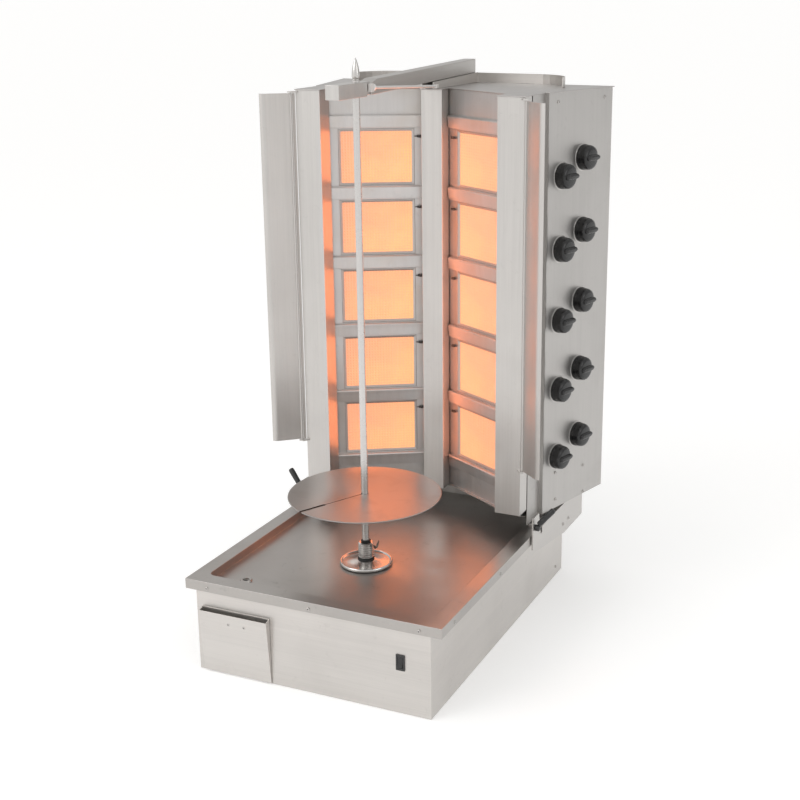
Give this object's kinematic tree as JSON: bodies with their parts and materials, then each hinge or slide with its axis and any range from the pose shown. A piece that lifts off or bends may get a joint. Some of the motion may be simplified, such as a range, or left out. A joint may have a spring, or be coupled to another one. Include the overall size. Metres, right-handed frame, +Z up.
{
  "type": "vertical rotisserie broiler",
  "caption": "Vertical gas broiler: drip-tray base with a turning spit and meat disc, and a sliding housing with two upright banks of glowing radiants, knobs and side wings.",
  "frame": {"origin": "middle of the underside of the base, on the surface that it stands on", "axes": "+Z up along the spit, +Y to the back, -Y to the cook who stands in front, +X to the control panel"},
  "size_m": [0.6612, 0.8131, 1.1833],
  "materials": {
    "satin_stainless": "satin, fine brushed",
    "dull_stainless": "dull mill finish",
    "spit_steel": "turned and polished",
    "black_plastic": "fine satin",
    "cast_drive": "painted casting",
    "gas_brass": "machined",
    "radiant_ceramic": "glowing perforated tile"
  },
  "bodies": {
    "base": {"base_shell": "satin_stainless", "base_bottom": "dull_stainless", "drip_tray": "satin_stainless", "runner_left": "dull_stainless", "runner_right": "dull_stainless", "gearbox": "cast_drive", "drive_motor": "cast_drive", "shaft_bush": "gas_brass", "switch_bezel": "black_plastic"},
    "drawer": {"grease_drawer": "satin_stainless"},
    "rocker": {"switch_rocker": "black_plastic"},
    "spit": {"drive_shaft": "spit_steel", "saucer_flange": "spit_steel", "coupling_ring": "black_plastic", "spit_coupling": "spit_steel", "spit_rod": "spit_steel", "spit_tip": "spit_steel", "meat_disc": "spit_steel"},
    "thumb_screw": {"thumb_screw": "spit_steel"},
    "carriage": {"housing_floor": "dull_stainless", "bank_front_left": "satin_stainless", "bank_front_right": "satin_stainless", "post_centre": "satin_stainless", "post_left": "satin_stainless", "post_right": "satin_stainless", "side_panel_left": "satin_stainless", "control_panel": "satin_stainless", "back_panel": "satin_stainless", "roof": "satin_stainless", "roof_rail": "satin_stainless", "saddle_left": "satin_stainless", "saddle_right": "satin_stainless", "gas_rail": "gas_brass", "burner_left_1": "radiant_ceramic", "burner_left_2": "radiant_ceramic", "burner_left_3": "radiant_ceramic", "burner_left_4": "radiant_ceramic", "burner_left_5": "radiant_ceramic", "burner_right_1": "radiant_ceramic", "burner_right_2": "radiant_ceramic", "burner_right_3": "radiant_ceramic", "burner_right_4": "radiant_ceramic", "burner_right_5": "radiant_ceramic"},
    "arm": {"arm_head": "satin_stainless", "arm_bar": "dull_stainless", "stay_rod": "spit_steel"},
    "wing_left": {"wing_left": "satin_stainless"},
    "wing_right": {"wing_right": "satin_stainless"},
    "clamp_left": {"clamp_lever_left": "black_plastic"},
    "clamp_right": {"clamp_lever_right": "black_plastic"},
    "knob_1": {"knob_1": "black_plastic"},
    "knob_2": {"knob_2": "black_plastic"},
    "knob_3": {"knob_3": "black_plastic"},
    "knob_4": {"knob_4": "black_plastic"},
    "knob_5": {"knob_5": "black_plastic"},
    "knob_6": {"knob_6": "black_plastic"},
    "knob_7": {"knob_7": "black_plastic"},
    "knob_8": {"knob_8": "black_plastic"},
    "knob_9": {"knob_9": "black_plastic"},
    "knob_10": {"knob_10": "black_plastic"}
  },
  "joints": [
    {"name": "spit_spin", "type": "hinge", "parent": "base", "child": "spit", "pos_m": [0, -0.13, 0.2], "axis": [0, 0, 1], "continuous": true},
    {"name": "thumb_screw_turn", "type": "hinge", "parent": "spit", "child": "thumb_screw", "pos_m": [0, -0.13, 0.213], "axis": [1, 0, 0], "range_deg": [-180, 180]},
    {"name": "drawer_slide", "type": "slide", "parent": "base", "child": "drawer", "axis": [0, -1, 0], "range_m": [0, 0.25]},
    {"name": "switch_rock", "type": "hinge", "parent": "base", "child": "rocker", "pos_m": [0.1915, -0.3633, 0.1055], "axis": [1, 0, 0], "range_deg": [0, 14]},
    {"name": "carriage_slide", "type": "slide", "parent": "base", "child": "carriage", "axis": [0, 1, 0], "range_m": [-0.05, 0.04]},
    {"name": "arm_slide", "type": "slide", "parent": "carriage", "child": "arm", "axis": [0, 0.9996, 0.03], "range_m": [-0.04, 0.05]},
    {"name": "wing_right_swing", "type": "hinge", "parent": "carriage", "child": "wing_right", "pos_m": [0.261, 0.074, 0.7], "axis": [0, 0, 1], "range_deg": [-50, 40]},
    {"name": "wing_left_swing", "type": "hinge", "parent": "carriage", "child": "wing_left", "pos_m": [-0.261, 0.074, 0.7], "axis": [0, 0, -1], "range_deg": [-50, 40]},
    {"name": "clamp_right_turn", "type": "hinge", "parent": "carriage", "child": "clamp_right", "pos_m": [0.285, 0.104, 0.208], "axis": [1, 0, 0], "range_deg": [-50, 60]},
    {"name": "clamp_left_turn", "type": "hinge", "parent": "carriage", "child": "clamp_left", "pos_m": [-0.285, 0.104, 0.208], "axis": [1, 0, 0], "range_deg": [-50, 60]},
    {"name": "knob_1_turn", "type": "hinge", "parent": "carriage", "child": "knob_1", "pos_m": [0.2762, 0.24539, 0.3215], "axis": [0.9657, -0.2595, 0], "range_deg": [-90, 90]},
    {"name": "knob_2_turn", "type": "hinge", "parent": "carriage", "child": "knob_2", "pos_m": [0.29644, 0.32072, 0.353], "axis": [0.9657, -0.2595, 0], "range_deg": [-90, 90]},
    {"name": "knob_3_turn", "type": "hinge", "parent": "carriage", "child": "knob_3", "pos_m": [0.2762, 0.24539, 0.4747], "axis": [0.9657, -0.2595, 0], "range_deg": [-90, 90]},
    {"name": "knob_4_turn", "type": "hinge", "parent": "carriage", "child": "knob_4", "pos_m": [0.29644, 0.32072, 0.5062], "axis": [0.9657, -0.2595, 0], "range_deg": [-90, 90]},
    {"name": "knob_5_turn", "type": "hinge", "parent": "carriage", "child": "knob_5", "pos_m": [0.2762, 0.24539, 0.6279], "axis": [0.9657, -0.2595, 0], "range_deg": [-90, 90]},
    {"name": "knob_6_turn", "type": "hinge", "parent": "carriage", "child": "knob_6", "pos_m": [0.29644, 0.32072, 0.6594], "axis": [0.9657, -0.2595, 0], "range_deg": [-90, 90]},
    {"name": "knob_7_turn", "type": "hinge", "parent": "carriage", "child": "knob_7", "pos_m": [0.2762, 0.24539, 0.7811], "axis": [0.9657, -0.2595, 0], "range_deg": [-90, 90]},
    {"name": "knob_8_turn", "type": "hinge", "parent": "carriage", "child": "knob_8", "pos_m": [0.29644, 0.32072, 0.8126], "axis": [0.9657, -0.2595, 0], "range_deg": [-90, 90]},
    {"name": "knob_9_turn", "type": "hinge", "parent": "carriage", "child": "knob_9", "pos_m": [0.2762, 0.24539, 0.9343], "axis": [0.9657, -0.2595, 0], "range_deg": [-90, 90]},
    {"name": "knob_10_turn", "type": "hinge", "parent": "carriage", "child": "knob_10", "pos_m": [0.29644, 0.32072, 0.9658], "axis": [0.9657, -0.2595, 0], "range_deg": [-90, 90]}
  ],
  "couplings": [
    {"joint": "arm_slide", "follows": "carriage_slide", "ratio": -1}
  ]
}
